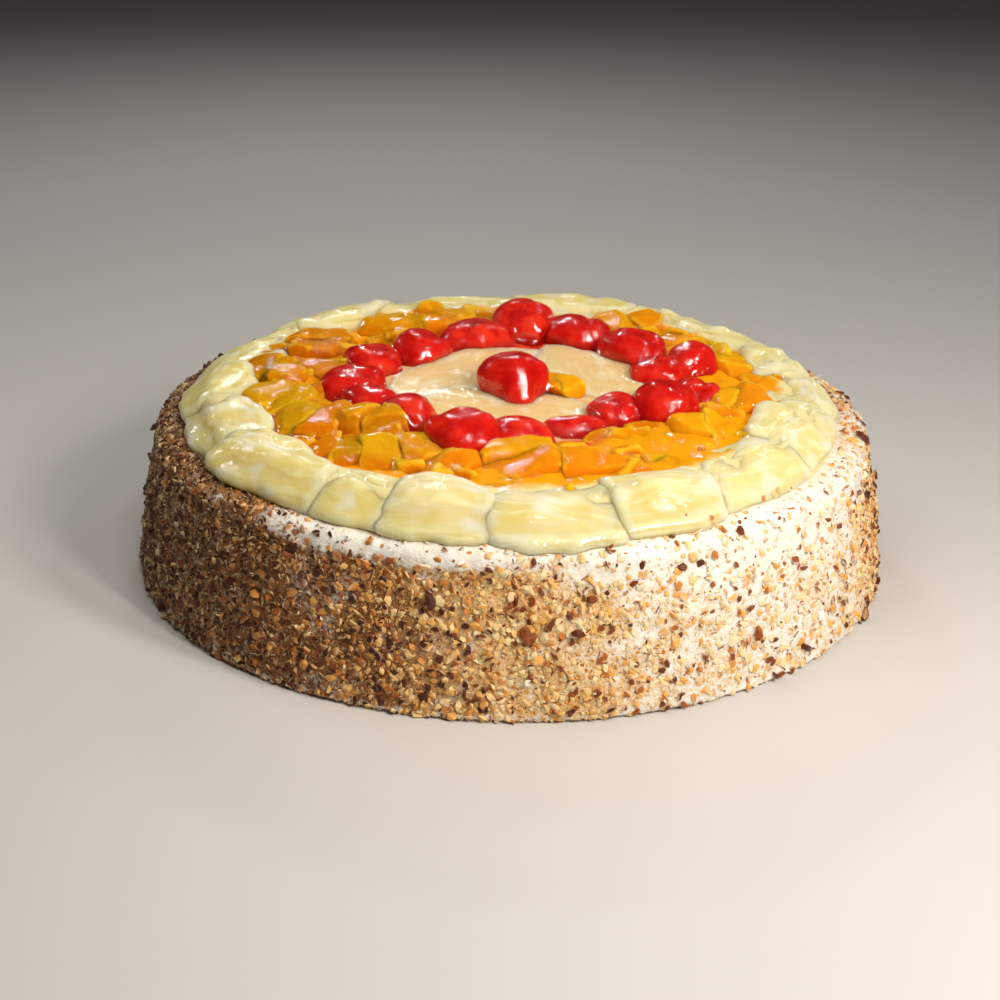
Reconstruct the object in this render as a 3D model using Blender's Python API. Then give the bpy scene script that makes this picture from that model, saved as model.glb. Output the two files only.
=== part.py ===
"""A whole round fruit gateau: a cream cake with a nut-coated side, topped with rings of cut fruit.

The cake is turned from a profile. Every piece of fruit starts as a rounded block of its own size,
laid on the top of the cake, and is then cut flat where it presses on its neighbours.
Lengths below are in millimetres and angles in degrees; the model itself is built in metres.
"""

import math
import random

import bmesh
import bpy
from mathutils import Matrix, Vector

MM = 0.001

# The cake, without its fruit.
FOOT_RADIUS = 120.0
SHOULDER_RADIUS = 113.5
SIDE_HEIGHT = 41.0
TOP_HEIGHT = 49.0
TOP_EDGE_RADIUS = 104.0
TOP_EDGE_DROP = 1.2
FOOT_ROUNDING = 1.5
CAKE_SEGMENTS = 72
SIDE_STEPS = 4
SHOULDER_STEPS = 4
TOP_RING_SHARES = (0.75, 0.45)

# How much of the side's inward lean is even, from foot to shoulder; the rest comes near the shoulder.
EVEN_LEAN = 0.35

# Hand-spread cream: how far the side wanders, and over what width it settles at the rim.
SIDE_UNEVENNESS = 0.7
UNEVENNESS_FADE = 6.0

# Waves round the side: how many, how strong, where they start and how they turn with height.
SIDE_WAVES = (
    (3, 1.0, 0.9, 0.0),
    (7, 0.6, 0.0, 0.11),
    (13, 0.4, 0.0, -0.2),
)

# Space left between pieces that touch.
GAP = 0.3

# Corners nearer than this are joined; edges sharper than the angle are shaded as edges.
JOIN_DISTANCE = 0.05
CUT_TOLERANCE = 0.001
SHARP_ANGLE = 40.0

# No two pieces are alike: how far corners are pushed in and how far a piece may roll or turn.
ROUGHNESS = 0.06
ROLL = 6.0
CHERRY_TURN = 15.0


class Kind:
    """How one kind of fruit is shaped.

    ball: made from a ball rather than a block. squareness: 2 is an ellipsoid, more is boxier.
    spread: how much wider it lies before its neighbours press it back.
    firm: how well it keeps its shape against a neighbour.
    sink: the share of its height that is below the top of the cake.
    bend: how much a long slab follows the rim of the cake, from 0 to 1.
    """

    def __init__(self, ball, squareness, spread, firm, sink, bend=0.0):
        self.ball = ball
        self.squareness = squareness
        self.spread = spread
        self.firm = firm
        self.sink = sink
        self.bend = bend


CHERRY = Kind(ball=True, squareness=2.4, spread=1.14, firm=1.25, sink=0.03)
PEACH = Kind(ball=False, squareness=3.2, spread=1.36, firm=1.0, sink=0.05)
SLAB = Kind(ball=False, squareness=5.0, spread=1.0, firm=1.0, sink=0.08, bend=0.8)
WEDGE = Kind(ball=False, squareness=4.0, spread=1.0, firm=1.0, sink=0.2)

# How strongly a difference in height slants the cut between two neighbours.
LAP = 3.0

# The outer ring of pineapple. It sits a little toward the front, and every other slab is thicker.
PINEAPPLE_START = 209.0
PINEAPPLE_RADIUS = 93.5
PINEAPPLE_THICKNESS = 7.6
PINEAPPLE_RING_SHIFT = (0.0, -2.5)
SLAB_OVERLAP = 7.0
SLAB_STEP = 1.6

# The angle that each slab spans, its width across the ring and how far it sits out.
PINEAPPLE_SLABS = (
    (29, 27, 0.5), (11, 25, 1.5), (18, 27, 2.0), (21, 29, 3.5),
    (18, 28, 1.0), (24, 26, -2.5), (22, 26, -3.5), (20, 26, -2.5),
    (15, 25, -3.5), (34, 26, -0.5), (28, 26, 1.0), (26, 26, 0.5),
    (33, 26, 0.5), (24, 27, 0.5), (18, 26, 0.0), (19, 26, -0.5),
)

# The disc in the middle: wedges that meet at a point.
CENTRE_WEDGES = 3
CENTRE_RADIUS = 21.0
CENTRE_SIZE = (82.0, 46.0, 6.8)
CENTRE_START = 20.0
CENTRE_SHIFT = (2.0, 3.0)

# Glazed cherries around the middle: angle, distance from the axis, length, breadth, height.
CHERRIES = (
    (253, 52.5, 21, 19, 16), (273, 45.0, 18, 15, 12), (299, 38.5, 17, 13, 9),
    (323, 39.0, 15, 15, 12), (336, 51.0, 20, 19, 16), (354, 58.5, 13, 13, 12),
    (19, 61.5, 13, 15, 15), (15, 49.0, 17, 16, 12), (39, 51.0, 21, 18, 15),
    (66, 55.0, 22, 17, 14), (86, 56.5, 18, 17, 17), (105, 47.5, 24, 17, 13),
    (136, 42.5, 18, 17, 14), (157, 49.0, 20, 17, 12), (181, 51.5, 21, 18, 11),
    (204, 47.5, 20, 15, 12), (225, 45.5, 17, 17, 14),
)

# The cherry in the middle stands on the disc. Angle, distance, length, breadth, height, turn.
MIDDLE_CHERRY = (275, 4.0, 19.5, 19, 16, -10)
MIDDLE_CHERRY_LIFT = 3.8

# Cut peach between the two rings: angle, distance, length, breadth, height, turn from the tangent.
PEACHES = (
    (352, 71, 22, 17, 11, 20), (21, 76, 20, 17, 11, -25), (58, 78, 22, 18, 11, 10),
    (96, 73, 19, 16, 9, 0), (110, 68, 17, 18, 11, 60), (123, 75, 25, 19, 12, 5),
    (151, 75, 22, 17, 11, -10),
    (164, 63, 18, 15, 10, 70), (171, 77, 18, 16, 10, 20), (194, 74, 20, 19, 11, 0),
    (210, 68, 24, 18, 11, -30), (223, 55, 20, 11, 14, 55), (230, 76, 24, 14, 11, 80),
    (236, 70, 22, 14, 12, 95), (244, 62, 17, 14, 11, 30), (255, 72, 20, 13, 11, 75),
    (264, 82, 18, 13, 8, 100), (273, 65, 24, 20, 12, 15), (291, 67, 30, 22, 11, -10),
    (310, 74, 24, 20, 9, 15), (330, 67, 22, 18, 11, 55),
)

# The bit of peach beside it, given in the same way.
MIDDLE_PEACH = (348, 15.5, 12, 10, 7, 30)
MIDDLE_PEACH_LIFT = 4.2


def clear_scene():
    for thing in list(bpy.data.objects):
        bpy.data.objects.remove(thing, do_unlink=True)


def make_material(name, colour, roughness):
    material = bpy.data.materials.new(name)
    material.use_nodes = True
    shader = material.node_tree.nodes["Principled BSDF"]
    shader.inputs["Base Color"].default_value = (*colour, 1.0)
    shader.inputs["Roughness"].default_value = roughness
    shader.inputs["Metallic"].default_value = 0.0
    return material


def add_object(name, mesh, material):
    """Turn a finished bmesh into a named object, shaded smooth except at its cut edges."""
    bmesh.ops.recalc_face_normals(mesh, faces=mesh.faces)
    data = bpy.data.meshes.new(name)
    mesh.to_mesh(data)
    mesh.free()
    data.shade_smooth()
    data.set_sharp_from_angle(angle=math.radians(SHARP_ANGLE))
    data.materials.append(material)
    thing = bpy.data.objects.new(name, data)
    bpy.context.collection.objects.link(thing)
    return thing


def polar(angle, radius):
    """The point at an angle in degrees and a distance from the cake's axis."""
    turn = math.radians(angle)
    return Vector((radius * math.cos(turn), radius * math.sin(turn), 0.0))


def top_height(radius):
    """The height of the gently domed top."""
    return TOP_HEIGHT - TOP_EDGE_DROP * (radius / TOP_EDGE_RADIUS) ** 3


def top_slope(radius):
    """The fall of the top for each millimetre outward."""
    return 3.0 * TOP_EDGE_DROP * radius ** 2 / TOP_EDGE_RADIUS ** 3


def side_radius(height):
    """The radius of the side, which leans in a little and bulges in the middle."""
    share = height / SIDE_HEIGHT
    lean = EVEN_LEAN * share + (1.0 - EVEN_LEAN) * share ** 2
    return FOOT_RADIUS - (FOOT_RADIUS - SHOULDER_RADIUS) * lean


def cake_profile():
    """Radius and height from the foot up the side, round the shoulder and in along the top."""
    points = [(FOOT_RADIUS - FOOT_ROUNDING, 0.0)]
    for step in range(SIDE_STEPS + 1):
        height = FOOT_ROUNDING + (SIDE_HEIGHT - FOOT_ROUNDING) * step / SIDE_STEPS
        points.append((side_radius(height), height))
    edge_height = top_height(TOP_EDGE_RADIUS)
    for step in range(1, SHOULDER_STEPS + 1):
        turn = math.pi / 2 * step / SHOULDER_STEPS
        radius = TOP_EDGE_RADIUS + (SHOULDER_RADIUS - TOP_EDGE_RADIUS) * math.cos(turn)
        height = SIDE_HEIGHT + (edge_height - SIDE_HEIGHT) * math.sin(turn)
        points.append((radius, height))
    for share in TOP_RING_SHARES:
        radius = TOP_EDGE_RADIUS * share
        points.append((radius, top_height(radius)))
    return points


def unevenness(turn, height):
    """How far the side stands back here: from nothing to a fraction of a millimetre."""
    height_of_waves = sum(strength for count, strength, start, twist in SIDE_WAVES)
    wave = 0.0
    for count, strength, start, twist in SIDE_WAVES:
        wave += strength * math.sin(count * turn + start + twist * height)
    return SIDE_UNEVENNESS * (wave / height_of_waves - 1.0) / 2.0


def build_cake(material):
    mesh = bmesh.new()
    rings = []
    for radius, height in cake_profile():
        fade = min(1.0, max(0.0, (radius - TOP_EDGE_RADIUS) / UNEVENNESS_FADE))
        ring = []
        for step in range(CAKE_SEGMENTS):
            turn = 2 * math.pi * step / CAKE_SEGMENTS
            reach = radius + fade * unevenness(turn, height)
            spot = (reach * math.cos(turn), reach * math.sin(turn), height)
            ring.append(mesh.verts.new(Vector(spot) * MM))
        rings.append(ring)
    for lower, upper in zip(rings, rings[1:]):
        for step in range(CAKE_SEGMENTS):
            after = (step + 1) % CAKE_SEGMENTS
            mesh.faces.new((lower[step], lower[after], upper[after], upper[step]))
    mesh.faces.new(rings[0])
    crown = mesh.verts.new(Vector((0.0, 0.0, TOP_HEIGHT)) * MM)
    for step in range(CAKE_SEGMENTS):
        after = (step + 1) % CAKE_SEGMENTS
        mesh.faces.new((rings[-1][step], rings[-1][after], crown))
    return add_object("cake", mesh, material)


class Piece:
    """A rounded block of fruit, in its place but not yet cut by its neighbours."""

    def __init__(self, name, centre, size, turn, tilt, kind, material):
        self.name = name
        self.kind = kind
        self.centre = centre
        self.material = material
        self.mesh = bmesh.new()
        if kind.ball:
            bmesh.ops.create_uvsphere(self.mesh, u_segments=10, v_segments=7, radius=1.0)
        else:
            bmesh.ops.create_cube(self.mesh, size=2.0)
            bmesh.ops.subdivide_edges(self.mesh, edges=self.mesh.edges, cuts=2, use_grid_fill=True)
        half = Vector(size) / 2.0
        place = Matrix.Translation(centre) @ Matrix.Rotation(math.radians(turn), 4, "Z") @ tilt
        power = kind.squareness
        for vertex in self.mesh.verts:
            spot = vertex.co
            reach = sum(abs(part) ** power for part in spot) ** (-1.0 / power)
            stretched = Vector(part * side * reach for part, side in zip(spot, half))
            stretched.y += kind.bend * stretched.x ** 2 / (2.0 * PINEAPPLE_RADIUS)
            vertex.co = place @ stretched

    def reach(self, direction):
        """How far the block extends from its centre in a direction."""
        return max((vertex.co - self.centre).dot(direction) for vertex in self.mesh.verts)

    def roughen(self, dice):
        """Push each corner in by its own small amount."""
        for vertex in self.mesh.verts:
            vertex.co += (self.centre - vertex.co) * dice.uniform(0.0, ROUGHNESS)

    def cut(self, point, direction):
        """Take away what lies beyond a plane and close the cut with a flat face."""
        geometry = self.mesh.verts[:] + self.mesh.edges[:] + self.mesh.faces[:]
        bmesh.ops.bisect_plane(self.mesh, geom=geometry, dist=CUT_TOLERANCE, plane_co=point,
                               plane_no=direction, clear_outer=True)
        rim = [edge for edge in self.mesh.edges if edge.is_boundary]
        if rim:
            bmesh.ops.holes_fill(self.mesh, edges=rim, sides=0)

    def finish(self):
        """Scale to metres and join corners that the cuts left almost in one place."""
        bmesh.ops.dissolve_degenerate(self.mesh, dist=JOIN_DISTANCE, edges=self.mesh.edges)
        bmesh.ops.scale(self.mesh, vec=(MM, MM, MM), verts=self.mesh.verts)
        return add_object(self.name, self.mesh, self.material)


def outward_tilt(angle, turn, radius, roll):
    """The rotation that lays a block along the falling top, with a roll of its own."""
    axis = polar(angle + 90 - turn, 1.0)
    lie = Matrix.Rotation(math.atan(top_slope(radius)), 4, axis)
    return lie @ Matrix.Rotation(math.radians(roll), 4, "X")


def rest_on_top(piece, angle, radius):
    """Cut a piece's underside along the cake's top."""
    outward = polar(angle, 1.0)
    downward = Vector((-outward.x * top_slope(radius), -outward.y * top_slope(radius), -1.0))
    downward.normalize()
    touch = polar(angle, radius)
    touch.z = top_height(radius)
    piece.cut(touch - downward * GAP, downward)


def lay(name, kind, place, size, turn, material, dice, lift=0.0, shift=(0.0, 0.0)):
    """Make a block and set it down at an angle and distance, sunk in by a share of its height."""
    spot = polar(*place) + Vector((*shift, 0.0))
    distance = math.hypot(spot.x, spot.y)
    bearing = math.degrees(math.atan2(spot.y, spot.x))
    length, breadth, height = size
    spot.z = top_height(distance) + lift + height * (0.5 - kind.sink)
    whole_turn = bearing + 90 + turn
    tilt = outward_tilt(bearing, whole_turn, distance, dice.uniform(-ROLL, ROLL))
    wide = (length * kind.spread, breadth * kind.spread, height)
    piece = Piece(name, spot, wide, whole_turn, tilt, kind, material)
    piece.roughen(dice)
    if lift == 0.0:
        rest_on_top(piece, bearing, distance)
    return piece


def lay_pineapple_ring(material, dice):
    pieces = []
    angle = PINEAPPLE_START
    for count, (span, width, out) in enumerate(PINEAPPLE_SLABS, start=1):
        middle = angle + span / 2.0
        radius = PINEAPPLE_RADIUS + out
        length = radius * math.radians(span) + SLAB_OVERLAP
        thickness = PINEAPPLE_THICKNESS + (SLAB_STEP if count % 2 else 0.0)
        pieces.append(lay(f"pineapple_ring_{count:02d}", SLAB, (middle, radius),
                          (length, width, thickness), 0.0, material, dice,
                          shift=PINEAPPLE_RING_SHIFT))
        angle += span
    return pieces


def lay_centre(material, dice):
    pieces = []
    for count in range(CENTRE_WEDGES):
        angle = CENTRE_START + 360.0 * count / CENTRE_WEDGES
        pieces.append(lay(f"pineapple_centre_{count + 1:02d}", WEDGE, (angle, CENTRE_RADIUS),
                          CENTRE_SIZE, 0.0, material, dice, shift=CENTRE_SHIFT))
    return pieces


def lay_cherries(material, dice):
    pieces = []
    for count, (angle, radius, length, breadth, height) in enumerate(CHERRIES, start=1):
        turn = dice.uniform(-CHERRY_TURN, CHERRY_TURN)
        pieces.append(lay(f"cherry_ring_{count:02d}", CHERRY, (angle, radius),
                          (length, breadth, height), turn, material, dice))
    angle, radius, length, breadth, height, turn = MIDDLE_CHERRY
    pieces.append(lay("cherry_centre", CHERRY, (angle, radius), (length, breadth, height), turn,
                      material, dice, lift=MIDDLE_CHERRY_LIFT))
    return pieces


def lay_peaches(material, dice):
    pieces = []
    for count, (angle, radius, length, breadth, height, turn) in enumerate(PEACHES, start=1):
        pieces.append(lay(f"peach_band_{count:02d}", PEACH, (angle, radius),
                          (length, breadth, height), turn, material, dice))
    angle, radius, length, breadth, height, turn = MIDDLE_PEACH
    pieces.append(lay("peach_centre", PEACH, (angle, radius), (length, breadth, height), turn,
                      material, dice, lift=MIDDLE_PEACH_LIFT))
    return pieces


def press_together(pieces):
    """Cut every two pieces that would overlap along one plane between them, a gap apart."""
    cuts = []
    for first, one in enumerate(pieces):
        for other in pieces[first + 1:]:
            between = other.centre - one.centre
            direction = Vector((between.x, between.y, between.z * LAP)).normalized()
            distance = between.dot(direction)
            one_reach = one.reach(direction)
            other_reach = other.reach(-direction)
            if one_reach + other_reach < distance:
                continue
            one_hold = one_reach * one.kind.firm
            other_hold = other_reach * other.kind.firm
            middle = one.centre + direction * distance * one_hold / (one_hold + other_hold)
            cuts.append((one, middle - direction * GAP / 2.0, direction))
            cuts.append((other, middle + direction * GAP / 2.0, -direction))
    for piece, point, direction in cuts:
        piece.cut(point, direction)


def main():
    clear_scene()
    dice = random.Random(7)
    nut_cream = make_material("nut_cream", (0.72, 0.58, 0.42), 0.7)
    pineapple = make_material("pineapple", (0.88, 0.78, 0.38), 0.25)
    peach = make_material("peach", (0.90, 0.42, 0.05), 0.25)
    cherry = make_material("cherry", (0.60, 0.01, 0.01), 0.15)
    build_cake(nut_cream)
    pieces = lay_pineapple_ring(pineapple, dice)
    pieces += lay_centre(pineapple, dice)
    pieces += lay_cherries(cherry, dice)
    pieces += lay_peaches(peach, dice)
    press_together(pieces)
    for piece in pieces:
        piece.finish()


main()
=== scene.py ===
import math

import bpy
import numpy as np
from mathutils import Matrix, Vector


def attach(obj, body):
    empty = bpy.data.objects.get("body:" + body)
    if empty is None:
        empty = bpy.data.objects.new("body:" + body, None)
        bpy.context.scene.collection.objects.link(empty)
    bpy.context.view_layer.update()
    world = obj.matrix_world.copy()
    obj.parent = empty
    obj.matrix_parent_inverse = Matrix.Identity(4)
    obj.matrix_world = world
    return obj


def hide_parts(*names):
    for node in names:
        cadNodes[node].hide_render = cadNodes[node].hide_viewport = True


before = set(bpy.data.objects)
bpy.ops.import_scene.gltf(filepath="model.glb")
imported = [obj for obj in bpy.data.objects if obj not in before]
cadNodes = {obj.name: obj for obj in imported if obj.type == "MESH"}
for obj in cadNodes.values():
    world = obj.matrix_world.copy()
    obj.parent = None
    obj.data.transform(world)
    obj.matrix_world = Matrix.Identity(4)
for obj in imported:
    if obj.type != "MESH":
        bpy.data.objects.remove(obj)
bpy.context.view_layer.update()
axisZ = np.array((0.0, 0.0, 1.0))
print("frame loaded:", len(cadNodes), "nodes")


# one value inside a material; sums on it become Math nodes
class Wire:
    def __init__(self, look, socket):
        self.look = look
        self.socket = socket

    def __add__(self, other):
        return self.look.maths("ADD", self, other)

    def __radd__(self, other):
        return self.look.maths("ADD", other, self)

    def __sub__(self, other):
        return self.look.maths("SUBTRACT", self, other)

    def __rsub__(self, other):
        return self.look.maths("SUBTRACT", other, self)

    def __mul__(self, other):
        return self.look.maths("MULTIPLY", self, other)

    def __rmul__(self, other):
        return self.look.maths("MULTIPLY", other, self)

    def __truediv__(self, other):
        return self.look.maths("DIVIDE", self, other)

    def __pow__(self, other):
        return self.look.maths("POWER", self, other)


# a material, built up node by node
class Look:
    def __init__(self, name):
        self.material = bpy.data.materials.new(name)
        self.material.use_nodes = True
        self.tree = self.material.node_tree
        self.tree.nodes.clear()

    def add(self, kind, settings, values, out=0):
        made = self.tree.nodes.new(kind)
        for name, value in settings.items():
            if name == "stops":
                self.setStops(made.color_ramp, value)
            else:
                setattr(made, name, value)
        for name, value in values.items():
            socket = made.inputs[name]
            if isinstance(value, Wire):
                self.tree.links.new(value.socket, socket)
            else:
                socket.default_value = value
        return Wire(self, made.outputs[out])

    def setStops(self, ramp, stops):
        while len(ramp.elements) < len(stops):
            ramp.elements.new(0.5)
        for element, (place, colour) in zip(ramp.elements, stops):
            element.position = place
            element.color = (*colour, 1.0)

    def maths(self, operation, *values):
        return self.add("ShaderNodeMath", {"operation": operation}, dict(enumerate(values)))

    def between(self, value, low, high):  # 0 below low, 1 above high, soft in the middle
        spread = {"From Min": low, "From Max": high}
        return self.add("ShaderNodeMapRange", {"interpolation_type": "SMOOTHSTEP"}, {"Value": value, **spread})

    def ramp(self, value, stops):
        return self.add("ShaderNodeValToRGB", {"stops": stops}, {"Fac": value})

    def blend(self, share, first, second, way="MIX"):
        first, second = [c if isinstance(c, Wire) else (*c, 1.0) for c in (first, second)]
        return self.add("ShaderNodeMix", {"data_type": "RGBA", "blend_type": way},
                        {0: share, 6: first, 7: second}, 2)

    def attribute(self, name, out="Fac"):
        return self.add("ShaderNodeAttribute", {"attribute_name": name}, {}, out)

    def place(self):
        return self.add("ShaderNodeTexCoord", {}, {}, "Object")

    def stretched(self, vector, scale):
        return self.add("ShaderNodeVectorMath", {"operation": "MULTIPLY"}, {0: vector, 1: scale})

    def part(self, vector, name):  # one coordinate of a vector
        return self.add("ShaderNodeSeparateXYZ", {}, {"Vector": vector}, name)

    def speckle(self, vector, size, detail=3.0, rough=0.55):
        return self.add("ShaderNodeTexNoise", {}, {"Vector": vector, "Scale": 1 / size, "Detail": detail,
                                                   "Roughness": rough})

    def cells(self, vector, size, out="Distance"):
        return self.add("ShaderNodeTexVoronoi", {}, {"Vector": vector, "Scale": 1 / size}, out)

    def bump(self, height, strength, distance):
        return self.add("ShaderNodeBump", {}, {"Height": height, "Strength": strength, "Distance": distance})

    def surface(self, values):
        return self.add("ShaderNodeBsdfPrincipled", {}, values)

    def finish(self, shader):
        output = self.tree.nodes.new("ShaderNodeOutputMaterial")
        self.tree.links.new(shader.socket, output.inputs["Surface"])
        return self.material


def solo(obj):
    bpy.ops.object.select_all(action="DESELECT")
    obj.select_set(True)
    bpy.context.view_layer.objects.active = obj


def modify(obj, kind, **settings):  # one modifier, applied at once
    modifier = obj.modifiers.new(kind.lower(), kind)
    for name, value in settings.items():
        setattr(modifier, name, value)
    solo(obj)
    bpy.ops.object.modifier_apply(modifier=modifier.name)


def pointsOf(obj):
    points = np.empty(len(obj.data.vertices) * 3, np.float32)
    obj.data.vertices.foreach_get("co", points)
    return points.reshape(-1, 3)


def normalsOf(obj):
    normals = np.empty(len(obj.data.vertices) * 3, np.float32)
    obj.data.vertex_normals.foreach_get("vector", normals)
    return normals.reshape(-1, 3)


def movePoints(obj, points):
    obj.data.vertices.foreach_set("co", points.astype(np.float32).ravel())
    obj.data.update()


gradients = np.random.default_rng(11).normal(size=(4096, 3))
gradients /= np.linalg.norm(gradients, axis=1)[:, None]


def noiseAt(points, size, seed):  # smooth noise from about -1 to 1, always the same at the same spot
    spots = points / np.array(size) + seed * 7.31
    cells = np.floor(spots).astype(np.int64)
    inside = spots - cells
    eased = inside ** 3 * (inside * (inside * 6 - 15) + 10)
    total = np.zeros(len(points))
    for corner in np.ndindex(2, 2, 2):
        mixed = (cells + corner) * (73856093, 19349663, 83492791)
        slopes = gradients[np.bitwise_xor.reduce(mixed, axis=1) % len(gradients)]
        heights = (slopes * (inside - corner)).sum(1)
        total += heights * np.prod(np.where(corner, eased, 1 - eased), axis=1)
    return total * 1.6


def swirlAt(points, size, seed):  # the same in three directions at once
    return np.stack([noiseAt(points, size, seed + step) for step in (0, 3.1, 5.7)], 1)


def smoothStep(values, low, high):
    share = np.clip((values - low) / (high - low), 0, 1)
    return share * share * (3 - 2 * share)


def setAttribute(obj, name, kind, values):
    word = {"FLOAT": "value", "FLOAT_VECTOR": "vector", "FLOAT_COLOR": "color"}[kind]
    made = obj.data.attributes.new(name, kind, "POINT")
    made.data.foreach_set(word, np.asarray(values, np.float32).ravel())


def towards(angle, rise, distance):
    turn, lift = math.radians(angle), math.radians(rise)
    return Vector((math.cos(turn) * math.cos(lift), math.sin(turn) * math.cos(lift), math.sin(lift))) * distance


def sliceOff(point, normal):  # in edit mode: cut away what lies beyond a plane and close the cut
    bpy.ops.mesh.select_all(action="SELECT")
    bpy.ops.mesh.bisect(plane_co=point, plane_no=normal, use_fill=True, clear_outer=True)


def joined(pieces, name):
    bpy.ops.object.select_all(action="DESELECT")
    for piece in pieces:
        piece.select_set(True)
    bpy.context.view_layer.objects.active = pieces[0]
    bpy.ops.object.join()
    pieces[0].name = name
    return pieces[0]


def place(piece, slot, look, *nodes):
    piece.data.materials.clear()
    piece.data.materials.append(look)
    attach(piece, "root")
    if nodes:
        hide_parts(*nodes)


# how thickly the nuts lie round the side and on the shoulder, by angle in degrees
coat = {
    "sideByAngle": ((0, 0.98), (30, 0.95), (90, 0.9), (180, 1.0), (240, 1.0), (272, 0.95), (287, 0.64), (305, 0.42),
                    (325, 0.42), (338, 0.75), (350, 0.95), (360, 0.98)),
    "shoulderByAngle": ((0, 0.6), (60, 0.7), (120, 0.8), (175, 1.0), (228, 1.0), (238, 0.20), (262, 0.08),
                        (274, 0.4), (290, 0.22), (318, 0.14), (338, 0.3), (350, 0.5), (360, 0.6)),
    "thinsFrom": ((0, 0.040), (270, 0.0400), (290, 0.026), (330, 0.026), (345, 0.040), (360, 0.040)),
    # painted shade: nuts and the meal between them are painted darker round the side away from the lights
    "roastByAngle": ((0, 0.22), (90, 0.14), (180, 0.80), (210, 0.72), (238, 0.46), (268, 0.08), (290, 0.0), (333, 0.0), (350, 0.14), (360, 0.22)),
    "strayByAngle": ((0, 0.04), (30, 0.02), (120, 0.0), (290, 0.0), (294, 0.02),
                     (300, 0.14), (314, 0.42), (334, 0.40), (348, 0.12), (360, 0.04)),
    "innerRadius": 0.1035, "strayRadius": 0.1035, "clumpSize": 0.009,
    "colours": ((0.0, (0.94, 0.76, 0.48)), (0.28, (0.92, 0.62, 0.28)), (0.48, (0.86, 0.43, 0.10)),
                (0.66, (0.60, 0.20, 0.032)), (0.80, (0.28, 0.068, 0.014)), (1.0, (0.080, 0.020, 0.008))),
}


def byAngle(points, table):  # a value that changes round the cake, from a table of angles and values
    angles = np.degrees(np.arctan2(points[:, 1], points[:, 0])) % 360
    return np.interp(angles, *zip(*table))


def coatShare(points):  # how thickly the nuts lie at each place
    side, shoulder = byAngle(points, coat["sideByAngle"]), byAngle(points, coat["shoulderByAngle"])
    share = side + (shoulder - side) * smoothStep(points[:, 2], byAngle(points, coat["thinsFrom"]), 0.0445)
    return share * (0.92 + 0.5 * noiseAt(points, coat["clumpSize"], 3))


# the cake under the fruit, in whipped cream
cream = {
    "around": 560,
    "footRadius": 0.1186, "shoulderRadius": 0.1124, "edgeRadius": 0.104,
    "sideHeight": 0.0405, "topHeight": 0.049, "edgeHeight": 0.0478, "fullness": 0.72,
    "sideRings": 52, "shoulderRings": 14, "topRadii": (0.100, 0.092, 0.080, 0.060, 0.035, 0.012),
    "unevenness": ((0.030, 0.0006), (0.009, 0.0005), (0.0032, 0.00045)),
    "colour": (0.93, 0.88, 0.79), "shade": (0.89, 0.82, 0.70),
    # the last meal colour is painted shade, for the side away from the lights
    "meal": (0.90, 0.65, 0.33), "brownMeal": (0.74, 0.40, 0.14), "darkMeal": (0.32, 0.125, 0.025),
}


def topHeight(radius):
    return cream["topHeight"] - (cream["topHeight"] - cream["edgeHeight"]) * (radius / cream["edgeRadius"]) ** 3


def creamHeight(radii):  # the height of the cream at each distance from the middle
    rings = np.array(creamProfile())
    rings = rings[rings[:, 0] < cream["shoulderRadius"] + 0.0001]
    return np.interp(radii, rings[::-1, 0], rings[::-1, 1])


def creamProfile():  # radius and height of every ring, from the foot to the middle
    rings = []
    fall = cream["footRadius"] - cream["shoulderRadius"]
    for step in range(1, cream["sideRings"] + 1):
        share = step / cream["sideRings"]
        rings.append((cream["footRadius"] - fall * (0.35 * share + 0.65 * share ** 2), cream["sideHeight"] * share))
    for step in range(1, cream["shoulderRings"] + 1):
        turn = math.pi / 2 * step / cream["shoulderRings"]
        inward = (cream["shoulderRadius"] - cream["edgeRadius"]) * (1 - math.cos(turn) ** cream["fullness"])
        rise = (cream["edgeHeight"] - cream["sideHeight"]) * math.sin(turn) ** cream["fullness"]
        rings.append((cream["shoulderRadius"] - inward, cream["sideHeight"] + rise))
    return rings + [(radius, topHeight(radius)) for radius in cream["topRadii"]]


def makeCream():
    bpy.ops.object.select_all(action="DESELECT")
    bpy.ops.mesh.primitive_circle_add(vertices=cream["around"], radius=cream["footRadius"] - 0.0012,
                                      fill_type="NGON", location=(0, 0, 0))
    piece = bpy.context.active_object
    piece.name = "creamCake"
    bpy.ops.object.mode_set(mode="EDIT")
    bpy.ops.mesh.select_all(action="SELECT")
    radius, height = cream["footRadius"] - 0.0012, 0.0
    for nextRadius, nextHeight in creamProfile():
        bpy.ops.mesh.extrude_region_move(TRANSFORM_OT_translate={"value": (0, 0, nextHeight - height)})
        scale = nextRadius / radius
        bpy.ops.transform.resize(value=(scale, scale, 1))
        radius, height = nextRadius, nextHeight
    bpy.ops.mesh.poke()
    bpy.ops.mesh.select_all(action="SELECT")
    bpy.ops.mesh.normals_make_consistent(inside=False)
    bpy.ops.object.mode_set(mode="OBJECT")
    points, normals = pointsOf(piece), normalsOf(piece)
    radii = np.hypot(points[:, 0], points[:, 1])
    loose = smoothStep(radii, 0.092, 0.104) * smoothStep(points[:, 2], 0.0, 0.003)
    shift = sum(depth * noiseAt(points, size, seed)
                for seed, (size, depth) in enumerate(cream["unevenness"], 1))
    movePoints(piece, points + normals * (shift * loose)[:, None])
    setAttribute(piece, "nuts", "FLOAT", coatShare(points) * loose)
    # painted shade by angle round the cake, read by the meal colour
    setAttribute(piece, "roast", "FLOAT", byAngle(points, coat["roastByAngle"]))
    piece.data.shade_smooth()
    return piece


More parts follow.
